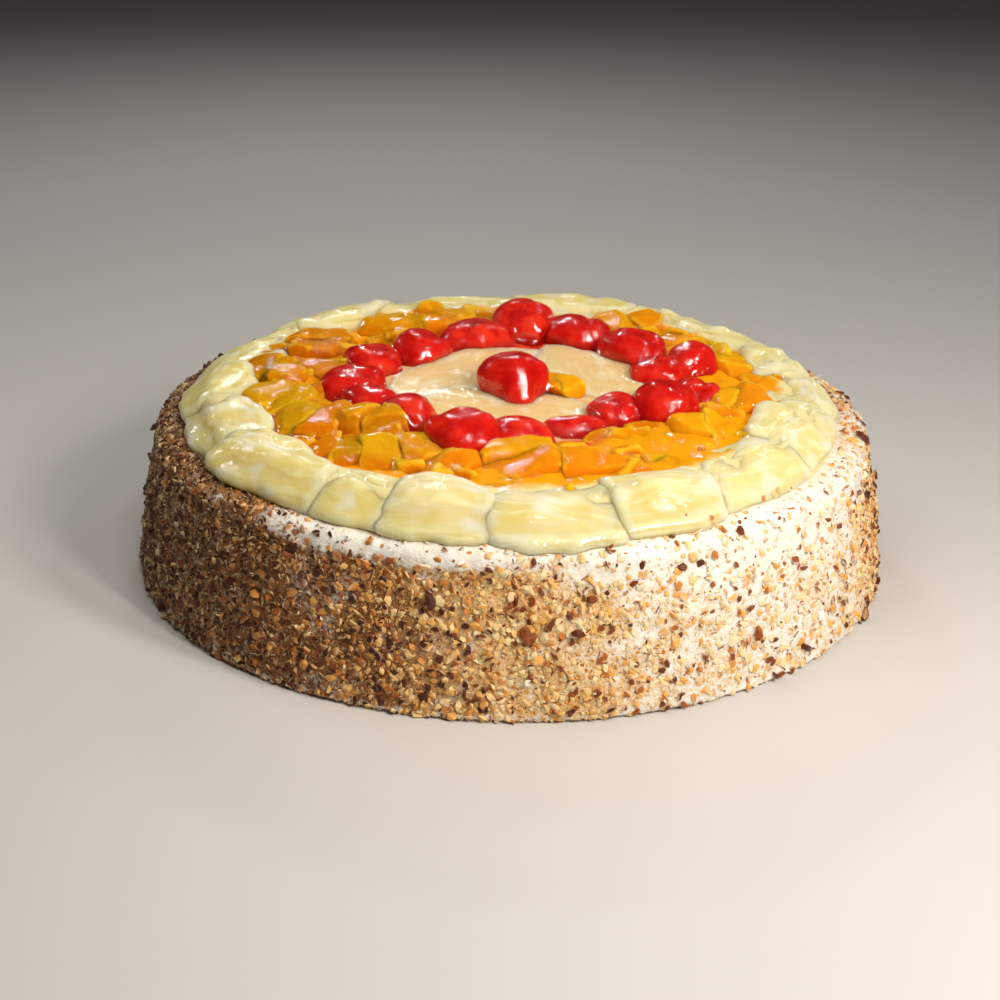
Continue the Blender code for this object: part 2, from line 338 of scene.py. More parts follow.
def creamLook():
    look = Look("whipped cream")
    spot = look.place()
    nutty = look.attribute("nuts")
    soft = look.speckle(spot, 0.011)
    fine = look.speckle(look.stretched(spot, (1.0, 1.0, 1.7)), 0.0018, 4.0, 0.62)
    pores = look.cells(spot, 0.0011)
    colour = look.blend(look.between(soft, 0.35, 0.7), cream["shade"], cream["colour"])
    meal = look.blend(look.between(look.speckle(spot, 0.0007), 0.42, 0.66), cream["brownMeal"], cream["meal"])
    # painted shade: the meal is painted darker round the side away from the lights
    meal = look.blend(look.between(look.attribute("roast"), 0.05, 0.3), meal, cream["darkMeal"])
    colour = look.blend(look.between(fine + nutty * 0.62, 0.66, 1.04), colour, meal)
    return look.finish(look.surface({
        "Base Color": colour, "Roughness": look.between(soft, 0.2, 0.9) * 0.15 + 0.5,
        "Subsurface Weight": 0.35, "Subsurface Radius": (1.0, 0.8, 0.6), "Subsurface Scale": 0.004,
        "Specular IOR Level": 0.35, "Normal": look.bump(fine + pores * 0.35, 0.55, 0.0007)}))


creamCake = makeCream()
place(creamCake, "nut_cream", creamLook(), "cake")
print("cream:", len(creamCake.data.polygons), "faces")


# fruit: each piece is a copy of its solid, rounded off and given its own skin
def fruitCopy(nodeName):
    solid = cadNodes[nodeName].data.copy()
    solid.materials.clear()
    piece = bpy.data.objects.new(nodeName.title().replace("_", ""), solid)
    piece.name = piece.name[0].lower() + piece.name[1:]
    bpy.context.collection.objects.link(piece)
    solo(piece)
    bpy.ops.object.mode_set(mode="EDIT")
    bpy.ops.mesh.select_all(action="SELECT")
    bpy.ops.mesh.remove_doubles(threshold=0.000002)
    bpy.ops.object.mode_set(mode="OBJECT")
    return piece


# every piece drifts with the same slow swirl, so that neighbours stay fitted but no seam is straight
drift = {"size": 0.011, "amount": (0.0019, 0.0019, 0.0009), "fineSize": 0.0045, "fineAmount": 0.0002,
         "edgeRounds": 10, "edgeRise": 0.00026}


def roundOff(piece, voxel, rounds):
    modify(piece, "REMESH", mode="VOXEL", voxel_size=voxel, use_smooth_shade=True)
    points = pointsOf(piece)
    swirl = swirlAt(points, drift["size"], 0.5)
    ripple = swirlAt(points, drift["fineSize"], 1.1)
    movePoints(piece, points + swirl * drift["amount"] + ripple * drift["fineAmount"])
    modify(piece, "SMOOTH", factor=0.5, iterations=rounds)


def markEdges(piece):  # 1 on a ridge, 0 in a hollow, 0.5 where the surface is flat
    points, normals = pointsOf(piece), normalsOf(piece)
    smoothed = piece.copy()
    smoothed.data = piece.data.copy()
    bpy.context.collection.objects.link(smoothed)
    modify(smoothed, "SMOOTH", factor=0.5, iterations=drift["edgeRounds"])
    rise = ((points - pointsOf(smoothed)) * normals).sum(1)
    bpy.data.objects.remove(smoothed)
    setAttribute(piece, "edge", "FLOAT", np.clip(0.5 + rise / drift["edgeRise"] / 2, 0, 1))


def middleOf(points):
    return (points.min(0) + points.max(0)) / 2


cherry = {
    "voxel": 0.0006, "rounding": 14, "plump": 0.0009, "lumpSize": 0.0080, "lump": 0.0006,
    "dimpleSize": 0.0032, "dimple": 0.00010,
    "creases": 2, "creaseDepth": 0.0012, "creaseWidth": 0.0016, "tip": 0.0042, "tipFacing": (0.22, -0.85, -0.48),
    "centreScale": (0.92, 0.92, 0.90),
    "colour": (0.78, 0.016, 0.008), "deep": (0.60, 0.006, 0.004), "bright": (0.92, 0.050, 0.016),
    # painted shade for the hollows and low parts, painted light for the ridges
    "hollow": (0.26, 0.002, 0.003), "ridge": (0.92, 0.055, 0.020),
}


def makeCherry(nodeName, dice):
    piece = fruitCopy(nodeName)
    roundOff(piece, cherry["voxel"], cherry["rounding"])
    points, normals = pointsOf(piece), normalsOf(piece)
    local = points - middleOf(points)
    reach = np.abs(local).max()
    if nodeName == "cherry_centre":
        foot = points.min(0) * axisZ + middleOf(points) * (1 - axisZ)
        points = foot + (points - foot) * cherry["centreScale"]
        local = points - middleOf(points)
    shift = cherry["plump"] + cherry["lump"] * noiseAt(points, cherry["lumpSize"], dice.random() * 9)
    shift += cherry["dimple"] * noiseAt(points, cherry["dimpleSize"], dice.random() * 9)
    if nodeName == "cherry_centre":
        headings = local / np.linalg.norm(local, axis=1)[:, None]
        shift += cherry["tip"] * np.maximum(headings @ np.array(cherry["tipFacing"]), 0) ** 7
    for _ in range(dice.integers(0, cherry["creases"] + 1)):
        heading, lean = dice.uniform(0, math.tau), dice.uniform(-0.5, 0.5)
        across = np.array((math.cos(heading), math.sin(heading), lean))
        along = np.array((-math.sin(heading), math.cos(heading), dice.uniform(0.2, 0.9)))
        offset = dice.uniform(-0.35, 0.35) * reach
        groove = np.exp(-((local @ across - offset) / cherry["creaseWidth"]) ** 2)
        shift -= cherry["creaseDepth"] * dice.uniform(0.4, 1.0) * groove * smoothStep(local @ along, -0.1 * reach,
                                                                                      0.8 * reach)
    movePoints(piece, points + normals * shift[:, None])
    modify(piece, "SMOOTH", factor=0.5, iterations=2)
    setAttribute(piece, "tone", "FLOAT", np.full(len(points), dice.random()))
    markEdges(piece)
    return piece


def cherryLook():
    look = Look("glazed cherry")
    spot = look.place()
    cloud = look.speckle(spot, 0.006, 2.0)
    grain = look.speckle(spot, 0.0012, 3.0)
    tone = look.attribute("tone")
    colour = look.blend(look.between(cloud, 0.3, 0.62), cherry["deep"], cherry["colour"])
    colour = look.blend(look.between(cloud + tone * 0.25, 0.62, 0.95), colour, cherry["bright"])
    edge = look.attribute("edge")
    height = look.part(look.place(), "Z")
    # painted shade: low down and in hollows the red is painted darker, where shade falls between the pieces
    colour = look.blend(look.between(height, 0.0585, 0.0530) * 0.7, colour, cherry["hollow"])
    colour = look.blend(look.between(edge, 0.5, 0.0) * 0.7, colour, cherry["hollow"])
    # painted light: ridges and thin edges are painted brighter red
    colour = look.blend(look.between(edge, 0.55, 1.0) * 0.6, colour, cherry["ridge"])
    return look.finish(look.surface({
        "Base Color": colour, "Roughness": 0.25, "IOR": 1.42, "Specular IOR Level": 0.15,
        "Transmission Weight": 0.12, "Subsurface Weight": 0.9, "Subsurface Radius": (1.0, 0.3, 0.2),
        "Subsurface Scale": 0.004, "Coat Weight": 0.5, "Coat Roughness": 0.02, "Coat IOR": 1.4, "Normal": look.bump(grain, 0.05, 0.0003)}))


# peach: how each piece is coloured, by its place in the band
peach = {
    "voxel": 0.0006, "rounding": 1, "slope": (0.15, 0.5), "slopeHeight": (0.6, 0.95), "gap": (-0.001, 0.002),
    "besides": ("gold", "orange", "gold", "yellow", "orange"), "trims": 2, "keep": (0.84, 0.98),
    "plump": 0.0004, "lumpSize": 0.0048, "lump": 0.0003, "dimpleSize": 0.0020, "dimple": 0.00012,
    # painted shade for the hollows and low parts, painted light for the ridges
    "hollow": (0.60, 0.14, 0.001), "ridge": (1.0, 0.54, 0.02),
    # painted shade: how much darker the flesh is painted round the cake, on the side away from the lights
    "lightByAngle": ((0, 0.97), (90, 0.88), (150, 0.72), (200, 0.64), (240, 0.72), (275, 0.92), (360, 0.97)),
    "colours": {
        "yellow": (0.96, 0.47, 0.008), "gold": (0.95, 0.37, 0.005), "orange": (0.93, 0.27, 0.004),
        "amber": (0.80, 0.26, 0.003), "olive": (0.62, 0.29, 0.006), "pink": (0.94, 0.33, 0.03),
    },
    "pieces": ("gold", "orange", "gold", "gold", "orange", "olive", "orange", "pink", "amber", "yellow", "orange",
               "gold", "olive", "amber", "gold", "yellow", "gold", "gold", "orange", "yellow", "gold"),
}


def lying(heading, slope):  # the way a cut faces when it is tipped from level by the slope
    return np.array((math.cos(heading) * math.sin(slope), math.sin(heading) * math.sin(slope), math.cos(slope)))


def cutPeach(piece, side, colour, dice):  # one half of a piece: trimmed, rounded and coloured
    points = pointsOf(piece)
    middle = middleOf(points)
    half = (points.max(0) - middle)[2]
    solo(piece)
    bpy.ops.object.mode_set(mode="EDIT")
    sliceOff(middle + side * dice.uniform(*peach["gap"]), side)
    slope = dice.uniform(*peach["slope"])
    sliceOff(middle + axisZ * half * dice.uniform(*peach["slopeHeight"]), lying(dice.uniform(0, math.tau), slope))
    for _ in range(peach["trims"]):
        facing = lying(dice.uniform(0, math.tau), dice.uniform(0.7, 1.4))
        support = ((points - middle) @ facing).max() * dice.uniform(*peach["keep"])
        sliceOff(middle + facing * support, facing)
    bpy.ops.object.mode_set(mode="OBJECT")
    roundOff(piece, peach["voxel"], peach["rounding"])
    points, normals = pointsOf(piece), normalsOf(piece)
    shift = peach["plump"] + peach["lump"] * noiseAt(points, peach["lumpSize"], dice.random() * 9)
    shift += peach["dimple"] * noiseAt(points, peach["dimpleSize"], dice.random() * 9)
    movePoints(piece, points + normals * shift[:, None])
    markEdges(piece)
    colourFruit(piece, colour, dice)
    return piece


def makePeach(nodeName, colourName, dice):  # a piece of peach that is itself cut in two
    facing = lying(dice.uniform(0, math.tau), dice.uniform(1.1, 1.5))
    halves = []
    for side in (facing, -facing):
        halves.append(cutPeach(fruitCopy(nodeName), side, peach["colours"][colourName], dice))
        colourName = str(dice.choice(peach["besides"]))
    name = halves[0].name
    return joined(halves, name)


# flesh colour and the direction of the fibres are carried by the piece itself
def colourFruit(piece, colour, dice):
    points = pointsOf(piece)
    # painted shade by angle round the cake, times a random tone for each piece
    spread = dice.uniform(0.93, 1.07) * float(byAngle(points, peach["lightByAngle"]).mean())
    flesh = np.tile((*[min(1.0, channel * spread) for channel in colour], 1.0), (len(points), 1))
    setAttribute(piece, "flesh", "FLOAT_COLOR", flesh)
    heading, rise = dice.uniform(0, math.tau), dice.uniform(-0.5, 0.5)
    turn = np.array(Matrix.Rotation(heading, 3, "Z") @ Matrix.Rotation(rise, 3, "Y"))
    setAttribute(piece, "grain", "FLOAT_VECTOR", (points - middleOf(points)) @ turn + dice.uniform(-0.05, 0.05, 3))


def peachLook():
    look = Look("canned peach")
    flesh = look.attribute("flesh", "Color")
    grain = look.attribute("grain", "Vector")
    fibres = look.speckle(look.stretched(grain, (0.16, 1.0, 1.0)), 0.0011, 3.0)
    cloud = look.speckle(grain, 0.005, 2.0)
    colour = look.blend(look.between(cloud, 0.4, 0.8) * 0.4, flesh, (0.74, 0.24, 0.003))
    colour = look.blend(look.between(fibres, 0.5, 0.85) * 0.3, colour, (1.0, 0.54, 0.02))
    edge = look.attribute("edge")
    height = look.part(look.place(), "Z")
    # painted shade: low parts and hollows are painted deeper orange, where shade falls between the pieces
    colour = look.blend(look.between(height, 0.0585, 0.0540) * 0.8, colour, peach["hollow"])
    colour = look.blend(look.between(edge, 0.5, 0.1) * 0.7, colour, peach["hollow"])
    # painted light: ridges are painted brighter yellow
    colour = look.blend(look.between(edge, 0.6, 1.0) * 0.5, colour, peach["ridge"])
    return look.finish(look.surface({
        "Base Color": colour, "Roughness": 0.35, "IOR": 1.4, "Specular IOR Level": 0.0,
        "Subsurface Weight": 0.85, "Subsurface Radius": (1.0, 0.95, 0.8), "Subsurface Scale": 0.004,
        "Normal": look.bump(fibres, 0.28, 0.0004)}))


pineapple = {
    "voxel": 0.0008, "rounding": 1, "lumpSize": 0.0080, "lump": 0.0007, "lumpy": 0.0016,
    "lumpyNodes": ("pineapple_ring_07", "pineapple_ring_08", "pineapple_ring_09", "pineapple_ring_10"),
    "fibreSize": (0.016, 0.0028, 0.0045), "fibre": 0.00012, "fold": 0.0008, "foldWidth": 0.0008,
    "plump": 0.0015,
    "ringShift": -0.0025, "taper": (0.0935, 0.1045), "tapered": 0.5, "drape": 0.85, "drapeFrom": 0.100,
    "pulledIn": 0.22, "centreCalm": 0.35,
    # the ridge colour on the next line is painted light
    "colour": (0.84, 0.70, 0.38), "deep": (0.80, 0.63, 0.23), "milky": (0.90, 0.85, 0.73), "rim": (1.0, 0.85, 0.46),
    "centreColour": (0.86, 0.56, 0.23), "centreMilky": (0.93, 0.77, 0.50),
    # painted shade: how much deeper and yellower the flesh is painted round the ring, away from the main lights, with a
    # random tone for each piece
    "ripe": (0.83, 0.64, 0.17),
    "ripeByAngle": ((0, 0.3), (60, 0.8), (150, 1.0), (200, 0.9), (240, 0.6), (265, 0.3), (300, 0.35), (330, 0.5),
                    (360, 0.3)),
}


def drapedOver(points):  # the outer ring thins outward and bends down with the cream
    points = points.copy()
    shift = np.array((0.0, pineapple["ringShift"]))
    out = np.hypot(*(points[:, :2] - shift).T)
    nearer = 1 - pineapple["pulledIn"] * np.maximum(out - pineapple["taper"][0], 0) / out
    points[:, :2] = shift + (points[:, :2] - shift) * nearer[:, None]
    radii, out = np.hypot(points[:, 0], points[:, 1]), out * nearer
    above = points[:, 2] - topHeight(radii)
    below = (topHeight(radii) - creamHeight(radii)) * smoothStep(radii, pineapple["drapeFrom"] - 0.004,
                                                                 pineapple["drapeFrom"] + 0.004)
    thin = 1 - pineapple["tapered"] * smoothStep(out, *pineapple["taper"])
    points[:, 2] = topHeight(radii) - below * pineapple["drape"] + above * thin
    return points


def makePineapple(nodeName, dice):
    piece = fruitCopy(nodeName)
    roundOff(piece, pineapple["voxel"], pineapple["rounding"])
    points, normals = pointsOf(piece), normalsOf(piece)
    middle = middleOf(points)
    heading = math.atan2(middle[1], middle[0]) + math.pi / 2 + dice.uniform(-0.35, 0.35)
    turn = np.array(Matrix.Rotation(heading, 3, "Z"))
    local = (points - middle) @ turn
    seed = dice.random() * 9
    lump = pineapple["lumpy" if nodeName in pineapple["lumpyNodes"] else "lump"]
    shift = pineapple["plump"] + lump * noiseAt(points, pineapple["lumpSize"], seed)
    shift += pineapple["fibre"] * noiseAt(local, pineapple["fibreSize"], seed)
    for _ in range(2):
        edge = dice.uniform(-0.009, 0.009) + 0.002 * noiseAt(local * (1, 0, 0), 0.009, dice.random() * 9)
        fold = smoothStep(local[:, 1], edge - pineapple["foldWidth"], edge + pineapple["foldWidth"]) - 0.5
        shift += dice.choice((-1, 1)) * pineapple["fold"] * fold * smoothStep(normals[:, 2], 0.3, 0.8)
    points = points + normals * shift[:, None]
    if "ring" in nodeName:
        points = drapedOver(points)
    else:
        level = np.percentile(points[:, 2], 85)
        points[:, 2] = np.where(points[:, 2] > level - 0.002,
                                level + (points[:, 2] - level) * pineapple["centreCalm"], points[:, 2])
    movePoints(piece, points)
    # painted shade by angle round the ring, plus a random tone for each piece
    setAttribute(piece, "ripe", "FLOAT", byAngle(points, pineapple["ripeByAngle"]) + dice.uniform(-0.25, 0.25))
    setAttribute(piece, "grain", "FLOAT_VECTOR", local + dice.uniform(-0.05, 0.05, 3))
    markEdges(piece)
    return piece


def pineappleLook(name, colour, deep, milky, rim):
    look = Look(name)
    grain = look.attribute("grain", "Vector")
    fibres = look.speckle(look.stretched(grain, (0.12, 1.0, 0.6)), 0.0012, 4.0)
    cloud = look.speckle(grain, 0.014, 2.0)
    veil = look.speckle(look.stretched(grain, (0.7, 1.0, 1.0)), 0.0075, 1.0)
    mixed = look.blend(look.between(cloud, 0.40, 0.62), deep, colour)
    if name == "canned pineapple":
        # random tone and painted shade together decide how deep the yellow is
        ripe = look.attribute("ripe") + (cloud - 0.5) * 1.2
        mixed = look.blend(look.between(ripe, 0.0, 1.0) * 0.8, mixed, pineapple["ripe"])
    mixed = look.blend(look.between(veil, 0.50, 0.75) * 0.65, mixed, milky)
    mixed = look.blend(look.between(fibres, 0.52, 0.8) * 0.4, mixed, milky)
    edge = look.attribute("edge")
    # painted light: hollows are painted paler, to lift the shade in the seams
    mixed = look.blend(look.between(edge, 0.5, 0.1) * 0.3, mixed, milky)
    # painted light: ridges are painted brighter yellow
    mixed = look.blend(look.between(edge, 0.51, 0.80) * 0.6, mixed, rim)
    return look.finish(look.surface({
        "Base Color": mixed, "Roughness": 0.35, "IOR": 1.4, "Specular IOR Level": 0.0,
        "Subsurface Weight": 0.9, "Subsurface Radius": (1.0, 0.96, 0.82), "Subsurface Scale": 0.012,
        "Normal": look.bump(fibres, 0.22, 0.0004)}))


def namesLike(start):
    return sorted(name for name in cadNodes if name.startswith(start))


dice = np.random.default_rng(5)
fruit = []
look = cherryLook()
for nodeName in namesLike("cherry"):
    fruit.append(makeCherry(nodeName, dice))
    place(fruit[-1], "cherry", look, nodeName)
print("cherries:", sum(len(piece.data.polygons) for piece in fruit), "faces")

look = peachLook()
for nodeName, colourName in zip(namesLike("peach_band") + ["peach_centre"], peach["pieces"] + ("orange",)):
    fruit.append(makePeach(nodeName, colourName, dice))
    place(fruit[-1], "peach", look, nodeName)
print("peaches:", sum(len(piece.data.polygons) for piece in fruit), "faces so far")

look = pineappleLook("canned pineapple", pineapple["colour"], pineapple["deep"], pineapple["milky"], pineapple["rim"])
# the milky colour here also serves as painted light on ridges and in hollows
centreLook = pineappleLook("syrup pineapple", pineapple["centreColour"], pineapple["centreColour"],
                           pineapple["centreMilky"], pineapple["centreMilky"])
for nodeName in namesLike("pineapple"):
    fruit.append(makePineapple(nodeName, dice))
    place(fruit[-1], "pineapple", centreLook if "centre" in nodeName else look, nodeName)
print("all fruit:", sum(len(piece.data.polygons) for piece in fruit), "faces")


# small offcuts of peach that fill the gaps: angle, distance from the middle, length, breadth, height, colour
offcuts = {
    "voxel": 0.0009, "rounding": 2, "sink": 0.18,
    "pieces": (
        (35, 82, 11, 10, 8, "yellow"), (43, 75, 11, 14, 8, "pink"), (76, 84, 14, 12, 8, "olive"),
        (8, 78, 8, 10, 8, "gold"), (147, 67, 14, 12, 9, "pink"), (184, 71, 13, 12, 9, "orange"),
        (186, 62, 9, 11, 9, "orange"), (208, 85, 14, 9, 5, "olive"), (286, 86, 7, 11, 7, "gold"),
        (314, 86, 8, 11, 7, "gold"), (337, 76, 9, 13, 8, "gold"), (138, 84, 10, 8, 7, "yellow"),
        (163, 84, 11, 9, 7, "olive"), (32, 66, 11, 9, 9, "orange"), (72, 70, 12, 10, 8, "gold"),
        (84, 72, 10, 9, 7, "orange"), (135, 62, 10, 9, 8, "orange"), (178, 84, 10, 8, 6, "yellow"),
        (0, 83, 9, 8, 7, "orange"), (110, 82, 10, 8, 7, "gold"), (218, 84, 10, 8, 6, "gold"),
        (247, 78, 9, 9, 7, "gold"), (277, 83, 9, 8, 6, "gold"), (300, 84, 9, 8, 6, "orange"),
        (320, 62, 10, 8, 8, "gold"), (341, 62, 9, 8, 9, "orange"), (46, 86, 9, 7, 6, "gold"),
        (90, 83, 9, 7, 6, "orange"), (310, 55, 13, 10, 8, "gold"), (321, 54, 13, 11, 8, "orange"),
        (330, 60, 11, 9, 9, "gold"), (286, 53, 11, 8, 8, "gold"),
        (304, 48, 11, 8, 7, "gold"), (311, 49, 10, 8, 7, "orange"),
    ),
    "scattered": 46, "reach": (61, 86), "length": (7, 13), "breadth": (5, 10), "height": (7.5, 11.5),
    "colours": ("gold", "orange", "yellow", "gold", "amber", "orange"),
}


def makeOffcut(angle, distance, length, breadth, height, colourName, dice):
    turn = math.radians(angle)
    size = np.array((length, breadth, height)) / 1000
    radius = distance / 1000
    middle = Vector((radius * math.cos(turn), radius * math.sin(turn),
                     topHeight(radius) + size[2] * (0.5 - offcuts["sink"])))
    bpy.ops.object.select_all(action="DESELECT")
    bpy.ops.mesh.primitive_cube_add(size=1, location=middle, scale=size)
    piece = bpy.context.active_object
    bpy.ops.object.transform_apply(location=True, rotation=True, scale=True)
    bpy.ops.object.mode_set(mode="EDIT")
    bpy.ops.mesh.select_all(action="SELECT")
    bpy.ops.transform.rotate(value=turn + dice.uniform(-0.6, 0.6), orient_axis="Z", center_override=middle)
    bpy.ops.transform.rotate(value=dice.uniform(-0.35, 0.35), orient_axis="X", center_override=middle)
    bpy.ops.transform.rotate(value=dice.uniform(-0.35, 0.35), orient_axis="Y", center_override=middle)
    for _ in range(3):
        heading, rise = dice.uniform(0, math.tau), dice.uniform(0.1, 1.2)
        facing = Vector((math.cos(heading) * math.cos(rise), math.sin(heading) * math.cos(rise), math.sin(rise)))
        sliceOff(middle + facing * float(size.mean()) * dice.uniform(0.42, 0.55), facing)
    bpy.ops.object.mode_set(mode="OBJECT")
    roundOff(piece, offcuts["voxel"], offcuts["rounding"])
    points, normals = pointsOf(piece), normalsOf(piece)
    shift = peach["plump"] + peach["lump"] * noiseAt(points, peach["lumpSize"], dice.random() * 9)
    shift += peach["dimple"] * noiseAt(points, peach["dimpleSize"], dice.random() * 9)
    movePoints(piece, points + normals * shift[:, None])
    markEdges(piece)
    colourFruit(piece, peach["colours"][colourName], dice)
    return piece


def scatterOffcuts(dice):  # more offcuts, wherever no cherry is in the way
    cherries = [middleOf(pointsOf(piece)) for piece in fruit if piece.name.startswith("cherry")]
    entries = []
    for number in range(offcuts["scattered"]):
        angle = (number + dice.uniform(0, 1)) * 360 / offcuts["scattered"]
        distance = dice.uniform(*offcuts["reach"])
        size = [dice.uniform(*offcuts[side]) for side in ("length", "breadth", "height")]
        middle = towards(angle, 0, distance / 1000)
        if min(math.hypot(other[0] - middle.x, other[1] - middle.y) for other in cherries) > 0.0135:
            entries.append((angle, distance, *size, str(dice.choice(offcuts["colours"]))))
    return entries


allOffcuts = offcuts["pieces"] + tuple(scatterOffcuts(dice))
peachOffcuts = joined([makeOffcut(*entry, dice) for entry in allOffcuts], "peachOffcuts")
place(peachOffcuts, "peach", bpy.data.materials["canned peach"])
print("peach offcuts:", len(peachOffcuts.data.polygons), "faces")


# set jelly between the pieces of fruit, stained by the fruit around it: distance from the middle, height, colour
jelly = {
    "around": 360, "steps": 76, "foot": 0.0465, "shiftY": -0.0015, "lump": 0.0007, "lumpSize": 0.006,
    "floodByAngle": ((0, 0.0014), (60, 0.0008), (120, 0.0006), (215, 0.0002), (245, 0.0008), (265, 0.0024), (330, 0.0024),
                     (360, 0.0014)),
    "cell": 0.0010, "bridge": 3, "under": 0.0006, "underOutside": 0.0018,
    "flowLump": 0.0013, "flowSize": 0.0075, "fineFlowLump": 0.0005, "fineFlowSize": 0.0028,
    "rings": ((0.1018, 0.0476), (0.1008, 0.0506), (0.0985, 0.0528), (0.0955, 0.0545), (0.0925, 0.0556),
              (0.0860, 0.0556), (0.0815, 0.0538), (0.0640, 0.0538), (0.0550, 0.0530), (0.0480, 0.0530),
              (0.0420, 0.0543), (0.0150, 0.0546)),
    "centre": (0.87, 0.55, 0.25), "cherries": (0.72, 0.06, 0.02), "peaches": (0.94, 0.35, 0.005),
    "pineapples": (0.86, 0.74, 0.35),
}


def spreadRound(grid, pick, reach):  # the highest, lowest or mean value among the neighbours round the cake
    return pick([np.roll(grid, turn, 0) for turn in range(-reach, reach + 1)], 0)


def fruitTop(points, pieces):  # the height of the fruit at each spot, with the narrow gaps between the pieces closed
    def cellOf(spots):
        angles = np.degrees(np.arctan2(spots[:, 1], spots[:, 0])) % 360
        across = np.hypot(spots[:, 0], spots[:, 1]) / jelly["cell"]
        return angles.astype(int) % 360, across.astype(int)

    tops = np.concatenate([pointsOf(piece) for piece in pieces])
    grid = np.zeros((360, int(0.13 / jelly["cell"])))
    np.maximum.at(grid, cellOf(tops), tops[:, 2])
    closed = spreadRound(spreadRound(grid, np.max, jelly["bridge"]), np.min, jelly["bridge"])
    return spreadRound(closed, np.mean, 1)[cellOf(points)]


def makeJelly():
    bpy.ops.object.select_all(action="DESELECT")
    radius, height = jelly["rings"][0][0], jelly["foot"]
    bpy.ops.mesh.primitive_circle_add(vertices=jelly["around"], radius=radius, fill_type="NGON",
                                      location=(0, jelly["shiftY"], height))
    piece = bpy.context.active_object
    piece.name = "jellyBed"
    bpy.ops.object.transform_apply(location=True, rotation=True, scale=True)
    bpy.ops.object.mode_set(mode="EDIT")
    bpy.ops.mesh.select_all(action="SELECT")
    knownRadii, knownHeights = zip(*jelly["rings"][::-1])
    for nextRadius in np.linspace(jelly["rings"][0][0], 0.004, jelly["steps"]):
        nextHeight = float(np.interp(nextRadius, knownRadii, knownHeights))
        bpy.ops.mesh.extrude_region_move(TRANSFORM_OT_translate={"value": (0, 0, nextHeight - height)})
        scale = nextRadius / radius
        bpy.ops.transform.resize(value=(scale, scale, 1), center_override=(0, jelly["shiftY"], 0))
        radius, height = nextRadius, nextHeight
    bpy.ops.mesh.poke()
    bpy.ops.mesh.select_all(action="SELECT")
    bpy.ops.mesh.normals_make_consistent(inside=False)
    bpy.ops.object.mode_set(mode="OBJECT")
    points = pointsOf(piece)
    radii = np.hypot(points[:, 0], points[:, 1] - jelly["shiftY"])
    flooded = smoothStep(radii, 0.046, 0.052) * smoothStep(radii, 0.088, 0.082)
    points[:, 2] += flooded * byAngle(points, jelly["floodByAngle"])
    points[:, 2] += (points[:, 2] > 0.050) * (jelly["lump"] * noiseAt(points, jelly["lumpSize"], 4)
                                              + flooded * jelly["flowLump"] * noiseAt(points, jelly["flowSize"], 5)
                                              + flooded * jelly["fineFlowLump"] * noiseAt(points, jelly["fineFlowSize"], 6))
    filled = fruitTop(points, [part for part in fruit if part.name.startswith("pineappleRing")])
    filled -= jelly["under"] + jelly["underOutside"] * smoothStep(radii, 0.094, 0.1000)
    share = smoothStep(radii, 0.084, 0.089) * smoothStep(radii, 0.1018, 0.1004)
    points[:, 2] += share * np.maximum(filled - points[:, 2], 0)
    movePoints(piece, points)
    piece.data.shade_smooth()
    return piece


def jellyLook():
    look = Look("fruit jelly")
    spot = look.place()
    across, deep = look.part(spot, "X"), look.part(spot, "Y") - jelly["shiftY"]
    cloud = look.speckle(spot, 0.005, 3.0)
    radius = (across * across + deep * deep) ** 0.5 + (cloud - 0.5) * 0.006
    colour = look.blend(look.between(radius, 0.042, 0.047), jelly["centre"], jelly["cherries"])
    colour = look.blend(look.between(radius, 0.050, 0.055), colour, jelly["peaches"])
    colour = look.blend(look.between(radius, 0.083, 0.087), colour, jelly["pineapples"])
    return look.finish(look.surface({
        "Base Color": colour, "Roughness": 0.3, "IOR": 1.4, "Specular IOR Level": 0.0, "Subsurface Weight": 0.5,
        "Subsurface Radius": (1.0, 0.9, 0.7), "Subsurface Scale": 0.003}))


jellyBed = makeJelly()
place(jellyBed, "pineapple", jellyLook())
print("jelly:", len(jellyBed.data.polygons), "faces")


# the clear glaze that lies over the fruit and bridges the hollows between the pieces
glaze = {"voxel": 0.00105, "reach": 0.0016, "film": 0.0002, "smoothing": 3, "mirror": 0.056, "edgeMirror": 0.14,
         "roughness": 0.02, "rippleSize": 0.0040, "ripple": 0.00022, "fineRippleSize": 0.0011, "fineRipple": 0.00019}


def makeGlaze(pieces):
    copies = []
    for piece in pieces:
        copy = bpy.data.objects.new("glazePart", piece.data.copy())
        bpy.context.collection.objects.link(copy)
        copies.append(copy)
    piece = joined(copies, "clearGlaze")
    modify(piece, "DISPLACE", strength=glaze["reach"], mid_level=0.0)
    modify(piece, "REMESH", mode="VOXEL", voxel_size=glaze["voxel"], use_smooth_shade=True)
    modify(piece, "DISPLACE", strength=glaze["film"] - glaze["reach"], mid_level=0.0)
    modify(piece, "SMOOTH", factor=0.5, iterations=glaze["smoothing"])
    return piece


def glazeLook():
    look = Look("clear glaze")
    slant = look.add("ShaderNodeLayerWeight", {}, {"Blend": 0.5}, "Facing")
    share = slant ** 5 * glaze["edgeMirror"] + glaze["mirror"]
    ripple = look.speckle(look.place(), glaze["rippleSize"], 2.0)
    fineRipple = look.speckle(look.place(), glaze["fineRippleSize"], 1.0)
    height = ripple + fineRipple * (glaze["fineRipple"] / glaze["ripple"])
    clear = look.add("ShaderNodeBsdfTransparent", {}, {"Color": (1, 1, 1, 1)})
    shine = look.surface({"Base Color": (1, 1, 1, 1), "Metallic": 1.0, "Roughness": glaze["roughness"],
                          "Normal": look.bump(height, 0.8, glaze["ripple"])})
    return look.finish(look.add("ShaderNodeMixShader", {}, {0: share, 1: clear, 2: shine}))


clearGlaze = makeGlaze(fruit + [peachOffcuts, jellyBed])
place(clearGlaze, "pineapple", glazeLook())
print("glaze:", len(clearGlaze.data.polygons), "faces")


